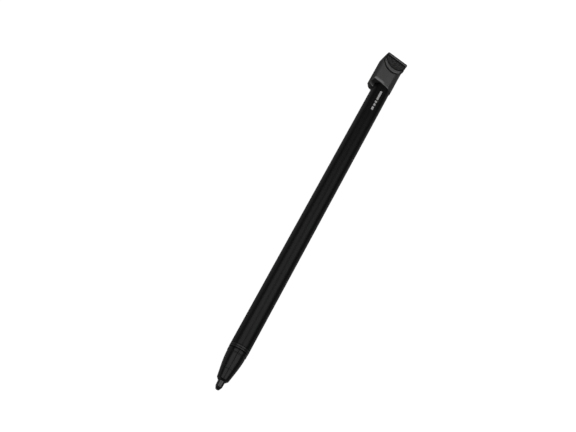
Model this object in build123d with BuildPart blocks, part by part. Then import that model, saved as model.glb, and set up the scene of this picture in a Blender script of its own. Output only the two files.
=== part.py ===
"""Slim garaged stylus pen: a round barrel with a sprung nib at one end and a keyed pull cap at the other.

Frame: +X runs along the pen from nib to cap, +Z is the face that shows when the pen is garaged, +Y the
side with the cap's key. The origin is on the pen's axis, where the full-size barrel meets the cap's key.
"""

from build123d import *

import os
from math import cos, radians, sin

# ---- driving sizes, millimetres -------------------------------------------------------------------

FIT = 0.02  # pieces that are pressed or glued together
RUN = 0.05  # pieces that slide in each other

# barrel
BARREL_R = 3.0
BARREL_LENGTH = 93.9  # full-size part, from the contact rings to just in front of the cap's key
BARREL_WALL = 0.4
SEAT_RELIEF = 0.2  # step down from the full size, under the cap's key and just in front of it

# charging contact rings and the insulating washers between them
RING_WIDTH = 0.53
WASHER_WIDTH = 0.13
WASHER_RECESS = 0.2

# nose cone and nose tip
CONE_LENGTH = 5.95
CONE_FRONT_R = 2.32
CONE_MID_R = 2.67
CONE_REAR_R = 2.88
NECK_R = 2.79
RIM_FRONT_R = 2.94
RIM_REAR_R = 2.97
RIM_WIDTH = 0.95
NECK_WIDTH = 0.4
TIP_LENGTH = 3.55
TIP_FACE_R = 1.25
TIP_SHOULDER_R = 1.79
TIP_CHAMFER = 0.58
TIP_SPIGOT_R = 1.72
TIP_SPIGOT_LENGTH = 0.7
TIP_FACE_EDGE_R = 0.12
TIP_SHOULDER_EDGE_R = 0.45
SEAM_EDGE_R = 0.06  # also the broken edge at the cone's rear and on the contact rings

# nib
NIB_OUT = 2.75
NIB_R = 1.07
NIB_TAPER_R = 0.98
NIB_TAPER_LENGTH = 1.12
NIB_BALL_R = 0.57
NIB_HEAD_LENGTH = 7.5
NIB_SHANK_R = 0.6
NIB_SHANK_LENGTH = 9.0
NIB_SHANK_CHAMFER = 0.15

# nib holder, return spring and their housing in the nose
PRESS_TRAVEL = 0.3
HOLDER_R = 1.15
HOLDER_MOUTH = 0.7  # from the nib's shoulder back to the holder
HOLDER_LENGTH = 12.0
FLANGE_R = 1.9
FLANGE_WIDTH = 0.6
FLANGE_FROM_MOUTH = 5.7
GRIP_WIDTH = 1.2
GRIP_WALL = 0.22
GRIP_FROM_MOUTH = 3.6
SPRING_MEAN_R = 1.6
SPRING_WIRE = 0.24
SPRING_TURNS = 4.5
SPIGOT_R = 2.2
GUIDE_R = 1.35
SPRING_BORE_R = 2.0
ELECTRODE_WALL = 0.25
ELECTRODE_LENGTH = 2.7

# pressure sensor
SENSOR_R = 2.0
SENSOR_LENGTH = 5.4
SENSOR_FACE = 0.6
SENSOR_WALL = 0.25
ROD_R = 0.7
PAD_R = 1.5
PAD_THICKNESS = 0.6
DISC_R = 1.7
DISC_THICKNESS = 0.6
SPRING_LENGTH = 4.1

# chassis, circuit board and cell
CHASSIS_WALL = 0.35
CHASSIS_GAP = 0.08
CHASSIS_TOP = 0.4
CHASSIS_START_GAP = 1.5  # behind the pressure sensor
RIB_WIDTH = 0.6
BOARD_LENGTH = 43.4
BOARD_THICKNESS = 0.5
BOARD_TOP = -0.35
BOARD_START_GAP = 0.6
BOARD_CORNER_R = 0.3
CHIP_CHAMFER = 0.06
CELL_R = 2.0
CELL_GAP = 1.3
CELL_COLLAR = 1.2
CELL_BEAD = 0.18
CELL_EDGE_R = 0.2
CELL_BEAD_R = 0.08
LEAD_THICKNESS = 0.1
LEAD_WIDTH = 0.8
FOAM_LENGTH = 1.8

# cap
CAP_FRONT = 2.25  # on the pen's axis
CAP_SLANT = 9.6  # the front edge runs back towards the key, degrees
CAP_LENGTH = 13.8  # to the end face's front edge
CAP_FACE = 2.86  # flat front face above the axis
CAP_BACK = BARREL_R  # flat back, level with the barrel's lowest line
CAP_FAR_SIDE = 3.06
CAP_KEY_SIDE = 4.52
CAP_FAR_R = 2.17
CAP_KEY_BACK_R = 0.8
CAP_EDGE_R = 0.3
END_MIDDLE_SET_BACK = 0.5  # the end face curves away from its front edge towards the back
END_BACK_SET_BACK = 1.6
LIP_RISE = 0.65  # above the front face, at the lip's edge
RIM_RISE = 0.3  # above the front face, at the end of the cap
LIP_START = 8.0
LIP_ARC_R = 4.0
LIP_FAR_R_START = 2.9
LIP_FLARE_START = 8.6
FLARE_OUT = 0.08  # the end of the cap is this much wider on the far side
NAIL_START = 8.85
NAIL_ARC_R = 4.2
NAIL_DEPTH = 0.55
RIM_THICKNESS = 0.95
KEY_FRONT = 1.25  # the key's front, where it stands out of the barrel's side
KEY_FRONT_R = 2.1
KEY_TOP = 0.3
KEY_TOP_R = 0.5
PLUG_LENGTH = 4.6
PLUG_ROOT = 1.0  # runs this far into the cap's block
PLUG_CHAMFER = 0.25
SEAL_SECTION = 0.5
SEAL_FROM_END = 1.4

# ---- places that follow from the sizes ------------------------------------------------------------

BARREL_INNER_R = BARREL_R - BARREL_WALL
BARREL_FRONT = -BARREL_LENGTH
RING_STACK = 3 * WASHER_WIDTH + 2 * RING_WIDTH
CONE_REAR = BARREL_FRONT - RING_STACK
CONE_FRONT = CONE_REAR - CONE_LENGTH
TIP_FRONT = CONE_FRONT - TIP_LENGTH
NIB_POINT = TIP_FRONT - NIB_OUT
NIB_SHOULDER = NIB_POINT + NIB_HEAD_LENGTH
NIB_END = NIB_SHOULDER + NIB_SHANK_LENGTH
HOLDER_FRONT = NIB_SHOULDER + HOLDER_MOUTH
HOLDER_REAR = HOLDER_FRONT + HOLDER_LENGTH
FLANGE_FRONT = HOLDER_FRONT + FLANGE_FROM_MOUTH
FLANGE_REAR = FLANGE_FRONT + FLANGE_WIDTH
SENSOR_FRONT = FLANGE_REAR + SPRING_LENGTH
SENSOR_REAR = SENSOR_FRONT + SENSOR_LENGTH
PAD_FRONT = HOLDER_REAR + PRESS_TRAVEL + RUN
DISC_FRONT = PAD_FRONT + PAD_THICKNESS + FIT
DISC_REAR = DISC_FRONT + DISC_THICKNESS
BOARD_FRONT = SENSOR_REAR + BOARD_START_GAP
BOARD_REAR = BOARD_FRONT + BOARD_LENGTH
BOARD_BOTTOM = BOARD_TOP - BOARD_THICKNESS
CHASSIS_FRONT = SENSOR_REAR + CHASSIS_START_GAP
CHASSIS_R = BARREL_INNER_R - CHASSIS_GAP
SEAT_R = BARREL_R - SEAT_RELIEF
CHASSIS_INNER_R = CHASSIS_R - CHASSIS_WALL
FOAM_R = CHASSIS_R - RUN
CELL_FRONT = BOARD_REAR + CELL_GAP + RIB_WIDTH
PLUG_FRONT = CAP_FRONT - PLUG_LENGTH
FOAM_REAR = PLUG_FRONT - FIT
CHASSIS_REAR = FOAM_REAR - FOAM_LENGTH - FIT
CELL_REAR = CHASSIS_REAR - CELL_GAP
CAP_MIDDLE = (CAP_KEY_SIDE - CAP_FAR_SIDE) / 2
CAP_WIDTH = CAP_KEY_SIDE + CAP_FAR_SIDE
LIP_TOP = CAP_FACE + LIP_RISE
RIM_TOP = CAP_FACE + RIM_RISE
RIM_START = CAP_LENGTH - RIM_THICKNESS

front_cut = Plane(
    origin=(CAP_FRONT, 0, 0),
    z_dir=(cos(radians(CAP_SLANT)), -sin(radians(CAP_SLANT)), 0),
)

os.makedirs("parts", exist_ok=True)


def save(piece, label):
    """Label a finished piece and write it as its own STEP file."""
    piece.part.label = label
    export_step(piece.part, f"parts/{label}.step")


def tube(start, end, outer, inner=0.0):
    """A plain turned ring or disc on the pen's axis, from start to end."""
    with BuildPart() as piece:
        with BuildSketch(Plane.YZ.offset(start)):
            Circle(outer)
            if inner:
                Circle(inner, mode=Mode.SUBTRACT)
        extrude(amount=end - start)
    return piece


# ---- nib and nib holder ---------------------------------------------------------------------------

with BuildPart() as nib:
    with BuildSketch(Plane.XZ):
        with BuildLine():
            ball = JernArc((NIB_POINT, 0), (0, 1), NIB_BALL_R, -60)
            head = Polyline(
                ball @ 1,
                (NIB_POINT + NIB_TAPER_LENGTH, NIB_TAPER_R),
                (TIP_FRONT, NIB_R),
                (NIB_SHOULDER, NIB_R),
                (NIB_SHOULDER, NIB_SHANK_R),
                (NIB_END, NIB_SHANK_R),
                (NIB_END, 0),
                (NIB_POINT, 0),
            )
        make_face()
    revolve(axis=Axis.X)
    shank_end = nib.faces().sort_by(Axis.X)[-1]
    chamfer(shank_end.edges(), length=NIB_SHANK_CHAMFER)
save(nib, "nib")

with BuildPart() as nib_holder:
    with BuildSketch(Plane.XZ):
        with BuildLine():
            Polyline(
                (HOLDER_FRONT, NIB_SHANK_R + RUN),
                (HOLDER_FRONT, HOLDER_R),
                (FLANGE_FRONT, HOLDER_R),
                (FLANGE_FRONT, FLANGE_R),
                (FLANGE_REAR, FLANGE_R),
                (FLANGE_REAR, HOLDER_R),
                (SENSOR_FRONT - PRESS_TRAVEL - 2 * RUN, HOLDER_R),
                (SENSOR_FRONT - PRESS_TRAVEL - 2 * RUN, ROD_R),
                (HOLDER_REAR, ROD_R),
                (HOLDER_REAR, 0),
                (NIB_END + FIT, 0),
                (NIB_END + FIT, NIB_SHANK_R + RUN),
                (HOLDER_FRONT + GRIP_FROM_MOUTH + GRIP_WIDTH, NIB_SHANK_R + RUN),
                (HOLDER_FRONT + GRIP_FROM_MOUTH + GRIP_WIDTH, NIB_SHANK_R + GRIP_WALL),
                (HOLDER_FRONT + GRIP_FROM_MOUTH, NIB_SHANK_R + GRIP_WALL),
                (HOLDER_FRONT + GRIP_FROM_MOUTH, NIB_SHANK_R + RUN),
                close=True,
            )
        make_face()
    revolve(axis=Axis.X)
save(nib_holder, "nib_holder")

grip_start = HOLDER_FRONT + GRIP_FROM_MOUTH + FIT
nib_grip_ring = tube(
    grip_start,
    grip_start + GRIP_WIDTH - 2 * FIT,
    NIB_SHANK_R + GRIP_WALL - FIT,
    NIB_SHANK_R + FIT,
)
save(nib_grip_ring, "nib_grip_ring")

spring_length = SPRING_LENGTH - SPRING_WIRE - 2 * FIT
with BuildPart() as return_spring:
    with BuildLine() as spring_path:
        Helix(
            pitch=spring_length / SPRING_TURNS,
            height=spring_length,
            radius=SPRING_MEAN_R,
            center=(FLANGE_REAR + SPRING_WIRE / 2 + FIT, 0, 0),
            direction=(1, 0, 0),
        )
    wire_plane = Plane(origin=spring_path.line @ 0, z_dir=spring_path.line % 0)
    with BuildSketch(wire_plane):
        Circle(SPRING_WIRE / 2)
    sweep(path=spring_path.line, is_frenet=True)
save(return_spring, "return_spring")

# ---- nose: tip ring, tilt electrode and cone -------------------------------------------------------

with BuildPart() as nose_tip:
    with BuildSketch(Plane.XZ):
        with BuildLine():
            bore_r = NIB_R + RUN
            FilletPolyline(
                (TIP_FRONT, bore_r),
                (TIP_FRONT, TIP_FACE_R),
                (TIP_FRONT + TIP_CHAMFER, TIP_SHOULDER_R),
                (CONE_FRONT, CONE_FRONT_R),
                (CONE_FRONT, TIP_SPIGOT_R),
                (CONE_FRONT + TIP_SPIGOT_LENGTH, TIP_SPIGOT_R),
                (CONE_FRONT + TIP_SPIGOT_LENGTH, bore_r),
                radius=[0, TIP_FACE_EDGE_R, TIP_SHOULDER_EDGE_R, SEAM_EDGE_R, 0, 0, 0],
                close=True,
            )
        make_face()
    revolve(axis=Axis.X)
save(nose_tip, "nose_tip")

tilt_start = CONE_FRONT + TIP_SPIGOT_LENGTH + FIT
tilt_end = tilt_start + ELECTRODE_LENGTH
tilt_electrode = tube(tilt_start, tilt_end, TIP_SPIGOT_R, TIP_SPIGOT_R - ELECTRODE_WALL)
save(tilt_electrode, "tilt_electrode")

rim_start = CONE_REAR - RIM_WIDTH
neck_start = rim_start - NECK_WIDTH
cone_bore_end = FLANGE_FRONT - FIT
cone_spigot_end = SENSOR_FRONT - FIT
with BuildPart() as nose_cone:
    with BuildSketch(Plane.XZ):
        with BuildLine():
            flare = ThreePointArc(
                (CONE_FRONT, CONE_FRONT_R),
                ((CONE_FRONT + neck_start) / 2, CONE_MID_R),
                (neck_start, CONE_REAR_R),
            )
            Polyline(
                flare @ 1,
                (neck_start + NECK_WIDTH / 4, NECK_R),
                (rim_start - NECK_WIDTH / 4, NECK_R),
                (rim_start, RIM_FRONT_R),
                (CONE_REAR - SEAM_EDGE_R, RIM_REAR_R),
                (CONE_REAR, RIM_REAR_R - SEAM_EDGE_R),
                (CONE_REAR, SPIGOT_R),
                (cone_spigot_end, SPIGOT_R),
                (cone_spigot_end, SPRING_BORE_R),
                (cone_bore_end, SPRING_BORE_R),
                (cone_bore_end, GUIDE_R),
                (tilt_end + FIT, GUIDE_R),
                (tilt_end + FIT, TIP_SPIGOT_R + FIT),
                (CONE_FRONT, TIP_SPIGOT_R + FIT),
                flare @ 0,
            )
        make_face()
    revolve(axis=Axis.X)
    # two flats let the contact leads run back beside the spigot
    with BuildSketch(Plane.YZ.offset(CONE_REAR)):
        for side in (1, -1):
            with Locations((side * SPIGOT_R, 0)):
                Rectangle(2 * (LEAD_THICKNESS + 2 * FIT), 2 * LEAD_WIDTH)
    extrude(amount=cone_spigot_end - CONE_REAR, mode=Mode.SUBTRACT)
save(nose_cone, "nose_cone")

# ---- charging contact rings ------------------------------------------------------------------------

ring_inner = SPIGOT_R + FIT
ring_starts = [
    CONE_REAR + WASHER_WIDTH,
    CONE_REAR + 2 * WASHER_WIDTH + RING_WIDTH,
]
for ring_name, start in zip(("front_contact_ring", "rear_contact_ring"), ring_starts):
    with BuildPart() as contact_ring:
        with BuildSketch(Plane.YZ.offset(start)):
            Circle(BARREL_R)
            Circle(ring_inner, mode=Mode.SUBTRACT)
        extrude(amount=RING_WIDTH)
        rims = contact_ring.edges().filter_by(GeomType.CIRCLE).sort_by(SortBy.RADIUS)[-2:]
        chamfer(rims, length=SEAM_EDGE_R)
    save(contact_ring, ring_name)

with BuildPart() as insulating_washers:
    for index in range(3):
        with BuildSketch(Plane.YZ.offset(CONE_REAR + index * (WASHER_WIDTH + RING_WIDTH))):
            Circle(BARREL_R - WASHER_RECESS)
            Circle(ring_inner, mode=Mode.SUBTRACT)
        extrude(amount=WASHER_WIDTH)
save(insulating_washers, "insulating_washers")

# ---- barrel ----------------------------------------------------------------------------------------

with BuildPart() as barrel:
    with BuildSketch(Plane.YZ.offset(BARREL_FRONT)):
        Circle(BARREL_R)
    extrude(amount=BARREL_LENGTH)
    with BuildSketch(Plane.YZ):
        Circle(SEAT_R)
    extrude(amount=CAP_LENGTH)
    with BuildSketch(Plane.YZ.offset(BARREL_FRONT)):
        Circle(BARREL_INNER_R)
    extrude(amount=BARREL_LENGTH + CAP_LENGTH, mode=Mode.SUBTRACT)
    split(bisect_by=front_cut.offset(-FIT), keep=Keep.BOTTOM)
save(barrel, "barrel")

# ---- pressure sensor -------------------------------------------------------------------------------

with BuildPart() as sensor_housing:
    with BuildSketch(Plane.YZ.offset(SENSOR_FRONT)):
        Circle(SENSOR_R)
    extrude(amount=SENSOR_LENGTH)
    with BuildSketch(Plane.YZ.offset(SENSOR_FRONT)):
        Circle(ROD_R + 2 * RUN)
    extrude(amount=SENSOR_LENGTH, mode=Mode.SUBTRACT)
    with BuildSketch(Plane.YZ.offset(SENSOR_FRONT + SENSOR_FACE)):
        Circle(SENSOR_R - SENSOR_WALL)
    extrude(amount=SENSOR_LENGTH, mode=Mode.SUBTRACT)
save(sensor_housing, "sensor_housing")

save(tube(PAD_FRONT, PAD_FRONT + PAD_THICKNESS, PAD_R), "sensor_pad")
save(tube(DISC_FRONT, DISC_REAR, DISC_R), "sensor_disc")

# ---- chassis ---------------------------------------------------------------------------------------

with BuildPart() as chassis:
    with BuildSketch(Plane.YZ.offset(CHASSIS_FRONT)):
        Circle(CHASSIS_R)
        Circle(CHASSIS_INNER_R, mode=Mode.SUBTRACT)
        with Locations((0, CHASSIS_TOP)):
            Rectangle(3 * CHASSIS_R, 2 * CHASSIS_R, align=(Align.CENTER, Align.MIN), mode=Mode.SUBTRACT)
    extrude(amount=CHASSIS_REAR - CHASSIS_FRONT)
    # ribs before and behind the cell
    for start in (CELL_FRONT - RIB_WIDTH - FIT, CELL_REAR + FIT):
        with BuildSketch(Plane.YZ.offset(start)):
            Circle(CHASSIS_R)
            with Locations((0, CHASSIS_TOP)):
                Rectangle(3 * CHASSIS_R, 2 * CHASSIS_R, align=(Align.CENTER, Align.MIN), mode=Mode.SUBTRACT)
        extrude(amount=RIB_WIDTH)
    # a solid floor carries the board
    with BuildSketch(Plane.YZ.offset(CHASSIS_FRONT)):
        Circle(CHASSIS_R)
        with Locations((0, BOARD_BOTTOM - FIT)):
            Rectangle(3 * CHASSIS_R, 2 * CHASSIS_R, align=(Align.CENTER, Align.MIN), mode=Mode.SUBTRACT)
        with Locations((0, BOARD_BOTTOM - FIT)):
            Rectangle(CHASSIS_R, 2 * CHASSIS_WALL, align=(Align.CENTER, Align.MAX), mode=Mode.SUBTRACT)
    extrude(amount=BOARD_REAR - CHASSIS_FRONT)
save(chassis, "chassis")

# ---- circuit board and what is soldered to it ------------------------------------------------------

board_half_width = (CHASSIS_INNER_R**2 - BOARD_BOTTOM**2) ** 0.5 - 2 * FIT
with BuildPart() as main_board:
    with BuildSketch(Plane.XY.offset(BOARD_BOTTOM)):
        with Locations(((BOARD_FRONT + BOARD_REAR) / 2, 0)):
            RectangleRounded(BOARD_LENGTH, 2 * board_half_width, BOARD_CORNER_R)
    extrude(amount=BOARD_THICKNESS)
save(main_board, "main_board")


def on_board(label, from_front, across, length, width, height):
    """A component body that stands on the board, from_front behind the board's front edge."""
    with BuildPart() as component:
        with BuildSketch(Plane.XY.offset(BOARD_TOP)):
            with Locations((BOARD_FRONT + from_front, across)):
                Rectangle(length, width)
        extrude(amount=height)
        chamfer(component.edges().group_by(Axis.Z)[-1], length=CHIP_CHAMFER)
    save(component, label)


on_board("controller_chip", 12.0, 0.0, 3.6, 2.8, 0.7)
on_board("charge_chip", 30.0, 0.0, 2.0, 2.0, 0.6)
on_board("crystal", 18.5, 0.0, 2.5, 2.0, 0.6)

PASSIVE_LENGTH = 0.6
PASSIVE_WIDTH = 0.3  # and height
PASSIVE_PITCH_X = 0.5
PASSIVE_PITCH_Y = 1.0
with BuildPart() as board_passives:
    with BuildSketch(Plane.XY.offset(BOARD_TOP)):
        for from_front in (5.5, 7.0, 22.5, 26.0, 34.0):
            with Locations((BOARD_FRONT + from_front, 0)):
                with GridLocations(PASSIVE_PITCH_X, PASSIVE_PITCH_Y, 2, 3):
                    Rectangle(PASSIVE_WIDTH, PASSIVE_LENGTH)
    extrude(amount=PASSIVE_WIDTH)
save(board_passives, "board_passives")

# leads from the two contact rings to the board's front pads, one along each side of the spigot
lead_inner = SPIGOT_R - LEAD_THICKNESS - FIT
LEAD_END_GAP = 0.3
FOOT_LENGTH = 0.5
FOOT_FROM_EDGE = 0.6
lead_end = CHASSIS_FRONT - LEAD_END_GAP
with BuildPart() as contact_leads:
    for side, start in zip((1, -1), ring_starts):
        with BuildSketch(Plane.XY.offset(BOARD_TOP)):
            with BuildLine():
                inner = side * lead_inner
                outer = side * (lead_inner + LEAD_THICKNESS)
                Polyline((start, inner), (lead_end, inner), (lead_end, outer), (start, outer), close=True)
            make_face()
        extrude(amount=LEAD_WIDTH)
        with BuildSketch(Plane.XY.offset(BOARD_TOP)):
            with BuildLine():
                pad = side * (board_half_width - FOOT_FROM_EDGE)
                Polyline(
                    (lead_end - FOOT_LENGTH, pad),
                    (lead_end, pad),
                    (lead_end, inner),
                    (lead_end - FOOT_LENGTH, inner),
                    close=True,
                )
            make_face()
        extrude(amount=LEAD_THICKNESS)
save(contact_leads, "contact_leads")

# flexible lead from the sensor disc back to the board
FLEX_HALF_WIDTH = 0.6
FLEX_REACH = 1.6
FLEX_LIFT = 0.1  # its front run stands above the board's face
FLEX_BEND_START = 0.5
FLEX_BEND_END = 0.7
FLEX_MITRE = 0.04
with BuildPart() as sensor_flex:
    with BuildSketch(Plane.XZ):
        with BuildLine():
            Polyline(
                (DISC_REAR + FIT, BOARD_TOP + FLEX_LIFT),
                (BOARD_FRONT + FLEX_BEND_START, BOARD_TOP + FLEX_LIFT),
                (BOARD_FRONT + FLEX_BEND_END, BOARD_TOP),
                (BOARD_FRONT + FLEX_REACH, BOARD_TOP),
                (BOARD_FRONT + FLEX_REACH, BOARD_TOP + LEAD_THICKNESS),
                (BOARD_FRONT + FLEX_BEND_END + FLEX_MITRE, BOARD_TOP + LEAD_THICKNESS),
                (BOARD_FRONT + FLEX_BEND_START + FLEX_MITRE, BOARD_TOP + FLEX_LIFT + LEAD_THICKNESS),
                (DISC_REAR + FIT, BOARD_TOP + FLEX_LIFT + LEAD_THICKNESS),
                close=True,
            )
        make_face()
    extrude(amount=FLEX_HALF_WIDTH, both=True)
save(sensor_flex, "sensor_flex")

# bowed leaf that ties the metal barrel to the board's ground
LEAF_FROM_FRONT = 37.0
LEAF_FOOT = 1.2
LEAF_SPAN = 4.2
LEAF_HALF_WIDTH = 0.5
LEAF_DROP = 1.4  # from the crest to the free end
leaf_crest = BARREL_INNER_R - FIT
leaf_start = BOARD_FRONT + LEAF_FROM_FRONT
with BuildPart() as ground_spring:
    with BuildSketch(Plane.XZ):
        with BuildLine():
            Polyline(
                (leaf_start - LEAF_FOOT, BOARD_TOP + LEAD_THICKNESS),
                (leaf_start - LEAF_FOOT, BOARD_TOP),
                (leaf_start + LEAD_THICKNESS, BOARD_TOP),
            )
            outside = ThreePointArc(
                (leaf_start, BOARD_TOP + LEAD_THICKNESS),
                (leaf_start + LEAF_SPAN / 2, leaf_crest),
                (leaf_start + LEAF_SPAN, leaf_crest - LEAF_DROP),
            )
            inside = ThreePointArc(
                (leaf_start + LEAD_THICKNESS, BOARD_TOP),
                (leaf_start + LEAF_SPAN / 2, leaf_crest - LEAD_THICKNESS),
                (leaf_start + LEAF_SPAN - LEAD_THICKNESS, leaf_crest - LEAF_DROP - LEAD_THICKNESS / 2),
            )
            Line(outside @ 1, inside @ 1)
            Line((leaf_start - LEAF_FOOT, BOARD_TOP + LEAD_THICKNESS), outside @ 0)
        make_face()
    extrude(amount=LEAF_HALF_WIDTH, both=True)
save(ground_spring, "ground_spring")

# ---- power cell ------------------------------------------------------------------------------------

with BuildPart() as power_cell:
    with BuildSketch(Plane.XZ):
        with BuildLine():
            FilletPolyline(
                (CELL_FRONT, 0),
                (CELL_FRONT, CELL_R),
                (CELL_FRONT + CELL_COLLAR, CELL_R),
                (CELL_FRONT + CELL_COLLAR + CELL_BEAD, CELL_R - CELL_BEAD),
                (CELL_FRONT + CELL_COLLAR + 2 * CELL_BEAD, CELL_R),
                (CELL_REAR, CELL_R),
                (CELL_REAR, 0),
                radius=[0, CELL_EDGE_R, CELL_BEAD_R, CELL_BEAD_R, CELL_BEAD_R, CELL_EDGE_R, 0],
                close=True,
            )
        make_face()
    revolve(axis=Axis.X)
save(power_cell, "power_cell")

TAB_ACROSS = 0.9
TAB_WIDTH = 0.6
TAB_ON_BOARD = 1.2
TAB_RISE_FROM = 0.4  # in front of the board's rear edge
TAB_OVER_CHASSIS = 0.15
tab_top = CHASSIS_TOP + TAB_OVER_CHASSIS
tab_riser = BOARD_REAR - TAB_RISE_FROM
with BuildPart() as cell_tabs:
    for side in (1, -1):
        with BuildSketch(Plane.XZ.offset(side * TAB_ACROSS)):
            with BuildLine():
                Polyline(
                    (BOARD_REAR - TAB_ON_BOARD, BOARD_TOP),
                    (BOARD_REAR - TAB_ON_BOARD, BOARD_TOP + LEAD_THICKNESS),
                    (tab_riser, BOARD_TOP + LEAD_THICKNESS),
                    (tab_riser, tab_top),
                    (CELL_FRONT - FIT, tab_top),
                    (CELL_FRONT - FIT, tab_top - LEAD_THICKNESS),
                    (tab_riser + LEAD_THICKNESS, tab_top - LEAD_THICKNESS),
                    (tab_riser + LEAD_THICKNESS, BOARD_TOP),
                    close=True,
                )
            make_face()
        extrude(amount=TAB_WIDTH / 2, both=True)
save(cell_tabs, "cell_tabs")

save(tube(FOAM_REAR - FOAM_LENGTH, FOAM_REAR, FOAM_R), "foam_pad")

# ---- pull cap --------------------------------------------------------------------------------------


def cap_section(start, top, far_corner, flare=0.0):
    """Cross-section of the cap at start: flat front and back, full round on the side away from the key."""
    with BuildSketch(Plane.YZ.offset(start)) as section:
        with BuildLine():
            FilletPolyline(
                (-CAP_FAR_SIDE - flare, -CAP_BACK),
                (CAP_KEY_SIDE, -CAP_BACK),
                (CAP_KEY_SIDE, top),
                (-CAP_FAR_SIDE - flare, top),
                radius=[CAP_FAR_R, CAP_KEY_BACK_R, CAP_EDGE_R, far_corner],
                close=True,
            )
        make_face()
    return section.sketch


overrun = 1.0
with BuildPart() as lip_block:
    flare_start = cap_section(LIP_FLARE_START, LIP_TOP, LIP_FAR_R_START)
    flare_end = cap_section(RIM_START, RIM_TOP, CAP_EDGE_R, FLARE_OUT)
    extrude(flare_start, amount=LIP_START - overrun - LIP_FLARE_START)
    loft([flare_start, flare_end])
    extrude(flare_end, amount=RIM_THICKNESS + overrun)
    # the lip's front edge is an arc that bows towards the nib
    with BuildSketch(Plane.XY.offset(-CAP_BACK - overrun)):
        with Locations((LIP_START + LIP_ARC_R, CAP_MIDDLE)):
            Circle(LIP_ARC_R)
            Rectangle(CAP_LENGTH, 2 * LIP_ARC_R, align=(Align.MIN, Align.CENTER))
    extrude(amount=CAP_BACK + LIP_TOP + 2 * overrun, mode=Mode.INTERSECT)

with BuildPart() as key_rib:
    with BuildSketch(Plane.YZ.offset(-CAP_LENGTH)):
        with BuildLine():
            FilletPolyline(
                (0, -CAP_BACK),
                (CAP_KEY_SIDE, -CAP_BACK),
                (CAP_KEY_SIDE, KEY_TOP),
                (0, KEY_TOP),
                radius=[0, CAP_KEY_BACK_R, KEY_TOP_R, 0],
                close=True,
            )
        make_face()
    extrude(amount=2 * CAP_LENGTH)
    # the rib's front is rounded in every direction about the barrel
    with BuildSketch(Plane.XZ):
        with BuildLine():
            FilletPolyline(
                (KEY_FRONT, 0),
                (KEY_FRONT, BARREL_R + KEY_FRONT_R),
                (CAP_LENGTH / 2, BARREL_R + KEY_FRONT_R),
                (CAP_LENGTH / 2, 0),
                radius=[0, KEY_FRONT_R, 0, 0],
                close=True,
            )
        make_face()
    revolve(axis=Axis.X, mode=Mode.INTERSECT)
    with BuildSketch(Plane.YZ.offset(-CAP_LENGTH)):
        Circle(SEAT_R + FIT)
    extrude(amount=2 * CAP_LENGTH, mode=Mode.SUBTRACT)

with BuildPart() as cap:
    extrude(cap_section(0, CAP_FACE, CAP_FAR_R), amount=CAP_LENGTH + overrun)
    split(bisect_by=front_cut, keep=Keep.TOP)
    add(lip_block.part)
    # the end face is one shallow curve from its front edge to its back edge
    with BuildSketch(Plane.XZ):
        with BuildLine():
            end_arc = ThreePointArc(
                (CAP_LENGTH, RIM_TOP),
                (CAP_LENGTH - END_MIDDLE_SET_BACK, (RIM_TOP - CAP_BACK) / 2),
                (CAP_LENGTH - END_BACK_SET_BACK, -CAP_BACK),
            )
            Polyline(
                end_arc @ 1,
                (CAP_LENGTH - END_BACK_SET_BACK, -CAP_BACK - overrun),
                (CAP_LENGTH + 2 * overrun, -CAP_BACK - overrun),
                (CAP_LENGTH + 2 * overrun, RIM_TOP + overrun),
                (CAP_LENGTH, RIM_TOP + overrun),
                end_arc @ 0,
            )
        make_face()
    extrude(amount=CAP_WIDTH, both=True, mode=Mode.SUBTRACT)
    # nail pocket behind the lip's edge
    with BuildSketch(Plane.XY.offset(LIP_TOP - NAIL_DEPTH)):
        with Locations((NAIL_START + NAIL_ARC_R, CAP_MIDDLE)):
            Circle(NAIL_ARC_R)
        with Locations((RIM_START, CAP_MIDDLE)):
            Rectangle(4 * NAIL_ARC_R, 3 * NAIL_ARC_R, align=(Align.MIN, Align.CENTER), mode=Mode.SUBTRACT)
    extrude(amount=NAIL_DEPTH + overrun, mode=Mode.SUBTRACT)
    add(key_rib.part)
    # plug that goes into the barrel, with a groove for the seal
    with BuildSketch(Plane.YZ.offset(PLUG_FRONT)):
        Circle(BARREL_INNER_R - FIT)
    extrude(amount=PLUG_LENGTH + PLUG_ROOT)
    chamfer(cap.faces().sort_by(Axis.X)[0].edges(), length=PLUG_CHAMFER)
    seal_at = PLUG_FRONT + SEAL_FROM_END
    groove_r = BARREL_INNER_R - SEAL_SECTION - FIT
    with BuildSketch(Plane.YZ.offset(seal_at - SEAL_SECTION / 2 - FIT)):
        Circle(BARREL_R)
        Circle(groove_r - FIT, mode=Mode.SUBTRACT)
    extrude(amount=SEAL_SECTION + 2 * FIT, mode=Mode.SUBTRACT)
save(cap, "cap")

with BuildPart() as cap_seal:
    with BuildSketch(Plane.XZ):
        with Locations((seal_at, groove_r + SEAL_SECTION / 2)):
            Circle(SEAL_SECTION / 2 - FIT / 2)
    revolve(axis=Axis.X)
save(cap_seal, "cap_seal")
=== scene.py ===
import bpy
import numpy as np
from mathutils import Matrix, Vector


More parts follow.
